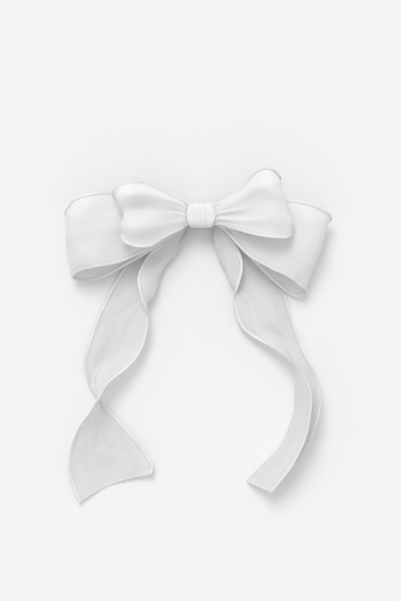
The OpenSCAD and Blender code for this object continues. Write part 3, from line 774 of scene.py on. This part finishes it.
# ---- gathering thread, inside the wrap ----
THREAD_TURNS = 4
THREAD_PITCH = 0.66
THREAD_HALF_Y = 6.2
THREAD_HALF_Z = 4.7
THREAD_R = 0.27
THREAD_STEPS = 480


def thread_coil(name):
    t = np.linspace(0, THREAD_TURNS, THREAD_STEPS)
    y, z = soft_ring(t, THREAD_HALF_Y, THREAD_HALF_Z)
    line = np.stack([(t - THREAD_TURNS / 2) * THREAD_PITCH, KNOT_Y + y, WRAP_MIDDLE_Z + z], -1)
    return tube(name, line, THREAD_R, 8)


finish_piece(thread_coil("gather_thread_coil"), THREAD, "thread", "gather_thread")

# ---- glue between the wrap and the clip ----
GLUE_LOW = 4.0
GLUE_HIGH = 4.9
GLUE_HALF_X = 6.37
GLUE_HALF_Y = 3.43
GLUE_CORNER = 0.6
GLUE_BULGE = 0.07
GLUE_RINGS = 14
GLUE_AROUND = 72


def glue_blob(name):
    verts = []
    for i in range(GLUE_RINGS):
        f = i / (GLUE_RINGS - 1)
        grow = 1 - GLUE_BULGE + GLUE_BULGE * math.cos(math.pi * (f - 0.5))
        for k in range(GLUE_AROUND):
            b = 2 * math.pi * k / GLUE_AROUND
            c, s = math.cos(b), math.sin(b)
            size = grow * (1 + 0.02 * math.sin(5 * b) + 0.015 * math.sin(9 * b + 1))
            x = GLUE_HALF_X * math.copysign(abs(c) ** GLUE_CORNER, c) * size
            y = GLUE_HALF_Y * math.copysign(abs(s) ** GLUE_CORNER, s) * size
            verts.append((x, y, GLUE_LOW + (GLUE_HIGH - GLUE_LOW) * f))
    faces = grid_faces(GLUE_RINGS, GLUE_AROUND, True)
    faces.append(tuple(reversed(range(GLUE_AROUND))))
    faces.append(tuple((GLUE_RINGS - 1) * GLUE_AROUND + k for k in range(GLUE_AROUND)))
    return mesh_object(name, verts, faces)


finish_piece(glue_blob("glue_blob"), GLUE, "glue", "glue_pad")

# ---- lining: down the raised end of the lever, along it and round its tip, as x and z ----
LINING_PATH = [
    (24.0, 7.0), (18.5, 6.2), (13.0, 5.4), (10.5, 4.7), (8.0, 3.84), (2.0, 3.84), (-8.0, 3.84), (-16.0, 3.84),
    (-21.6, 3.84), (-22.2, 3.7), (-22.33, 3.35), (-22.2, 3.0), (-21.6, 2.87), (-15.2, 2.87)]
LINING_HALF = 4.5
LINING_END_R = 3.6
LINING_END_LEAST = 0.2
LINING_THICK = 0.3
LINING_RIB = 0.05
LINING_RIB_PITCH = 1.1
LINING_STEPS = 220
LINING_CELLS = 26


def lining_ribbon(name):
    """The lining's cloth, with rounded ends, and its length along the lever."""
    corner = np.arange(len(LINING_PATH))
    at = np.linspace(0, corner[-1], LINING_STEPS)
    path = np.stack([np.interp(at, corner, part) for part in zip(*LINING_PATH)], -1)
    run = path_run(path)
    slope = unit(np.gradient(path, axis=0))
    first = min(x for x, z in LINING_PATH) + LINING_END_R
    last = max(x for x, z in LINING_PATH) - LINING_END_R
    verts = []
    for (x, z), (slope_x, slope_z), so_far in zip(path, slope, run):
        past = min(max(0.0, x - last, first - x), LINING_END_R)
        end = math.sqrt(max(LINING_END_R ** 2 - past ** 2, LINING_END_LEAST ** 2))
        half = LINING_HALF - LINING_END_R + end
        lift = LINING_RIB * math.sin(2 * math.pi * so_far / LINING_RIB_PITCH)
        for j in range(LINING_CELLS):
            y = half * (2 * j / (LINING_CELLS - 1) - 1)
            verts.append((x + slope_z * lift, y, z - slope_x * lift))
    o = mesh_object(name, verts, grid_faces(LINING_STEPS, LINING_CELLS))
    thicken(o, LINING_THICK, 0)
    return o, run[-1]


lining, lining_length = lining_ribbon("clip_lining_ribbon")
finish_piece(lining, LINING, "satin_lining", "clip_lining")

# ---- torsion spring, which twists between the lever and the jaw ----
PIN_X = 14.5
PIN_Z = 2.65
SPRING_WIRE = 0.55
SPRING_GAP = 0.05
SPRING_TURNS = 4
SPRING_COIL_R = 1.175
SPRING_LEG = 7.0
SPRING_START_DEG = -90.0
SPRING_END_DEG = 360.0 * SPRING_TURNS + 108.0
LEG_LOW_Z = 0.925
LEG_HIGH_Z = 5.35


def spring_wire(name):
    """A leg on the jaw, the coil round the pin, and a leg under the lever."""
    span = SPRING_TURNS * (SPRING_WIRE + SPRING_GAP)
    turn = np.linspace(0, 1, 260)
    a = np.radians(SPRING_START_DEG + (SPRING_END_DEG - SPRING_START_DEG) * turn)
    coil = np.stack([PIN_X + SPRING_COIL_R * np.cos(a), span * (turn - 0.5),
                     PIN_Z + SPRING_COIL_R * np.sin(a)], -1)
    steps = np.linspace(0, 1, 24, endpoint=False)[:, None]
    low = np.array([PIN_X + SPRING_LEG, -span / 2, LEG_LOW_Z])
    high = np.array([PIN_X + SPRING_LEG, span / 2, LEG_HIGH_Z])
    line = np.concatenate([low + (coil[0] - low) * steps, coil, high + (coil[-1] - high) * steps[::-1]])
    return tube(name, line, SPRING_WIRE / 2, 12)


spring = spring_wire("clip_spring_wire")
spring.data.materials.append(SPRING_STEEL)
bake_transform(spring)
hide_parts("clip_spring")

# ---- clip, as the CAD has it ----
for node in ("clip_top_lever", "clip_bottom_jaw", "clip_hinge_pin"):
    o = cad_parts[node]
    o.data.materials.clear()
    o.data.materials.append(CLIP_STEEL)

# ---- floor, light and world ----
floor_half = FLOOR_SIZE / 2 / MM
floor_corners = [(-floor_half, -floor_half, 0), (floor_half, -floor_half, 0),
                 (floor_half, floor_half, 0), (-floor_half, floor_half, 0)]
floor = mesh_object("floor", floor_corners, [(0, 1, 2, 3)])
floor.location.z = -FLOOR_GAP
floor.data.materials.append(matte("floor", FLOOR_COLOUR))

key_data = bpy.data.lights.new("key", "SUN")
key_data.energy = KEY_STRENGTH
key_data.angle = math.radians(KEY_SPREAD)
key = bpy.data.objects.new("key", key_data)
key.rotation_euler = (
    math.atan2(math.hypot(KEY_FROM[0], KEY_FROM[1]), KEY_FROM[2]), 0,
    math.atan2(KEY_FROM[1], KEY_FROM[0]) + math.pi / 2)
bpy.context.scene.collection.objects.link(key)
world = bpy.data.worlds.new("studio")
world.use_nodes = True
world.node_tree.nodes["Background"].inputs["Color"].default_value = (1, 1, 1, 1)
world.node_tree.nodes["Background"].inputs["Strength"].default_value = SKY_STRENGTH
bpy.context.scene.world = world
bpy.context.scene.view_settings.view_transform = "Standard"
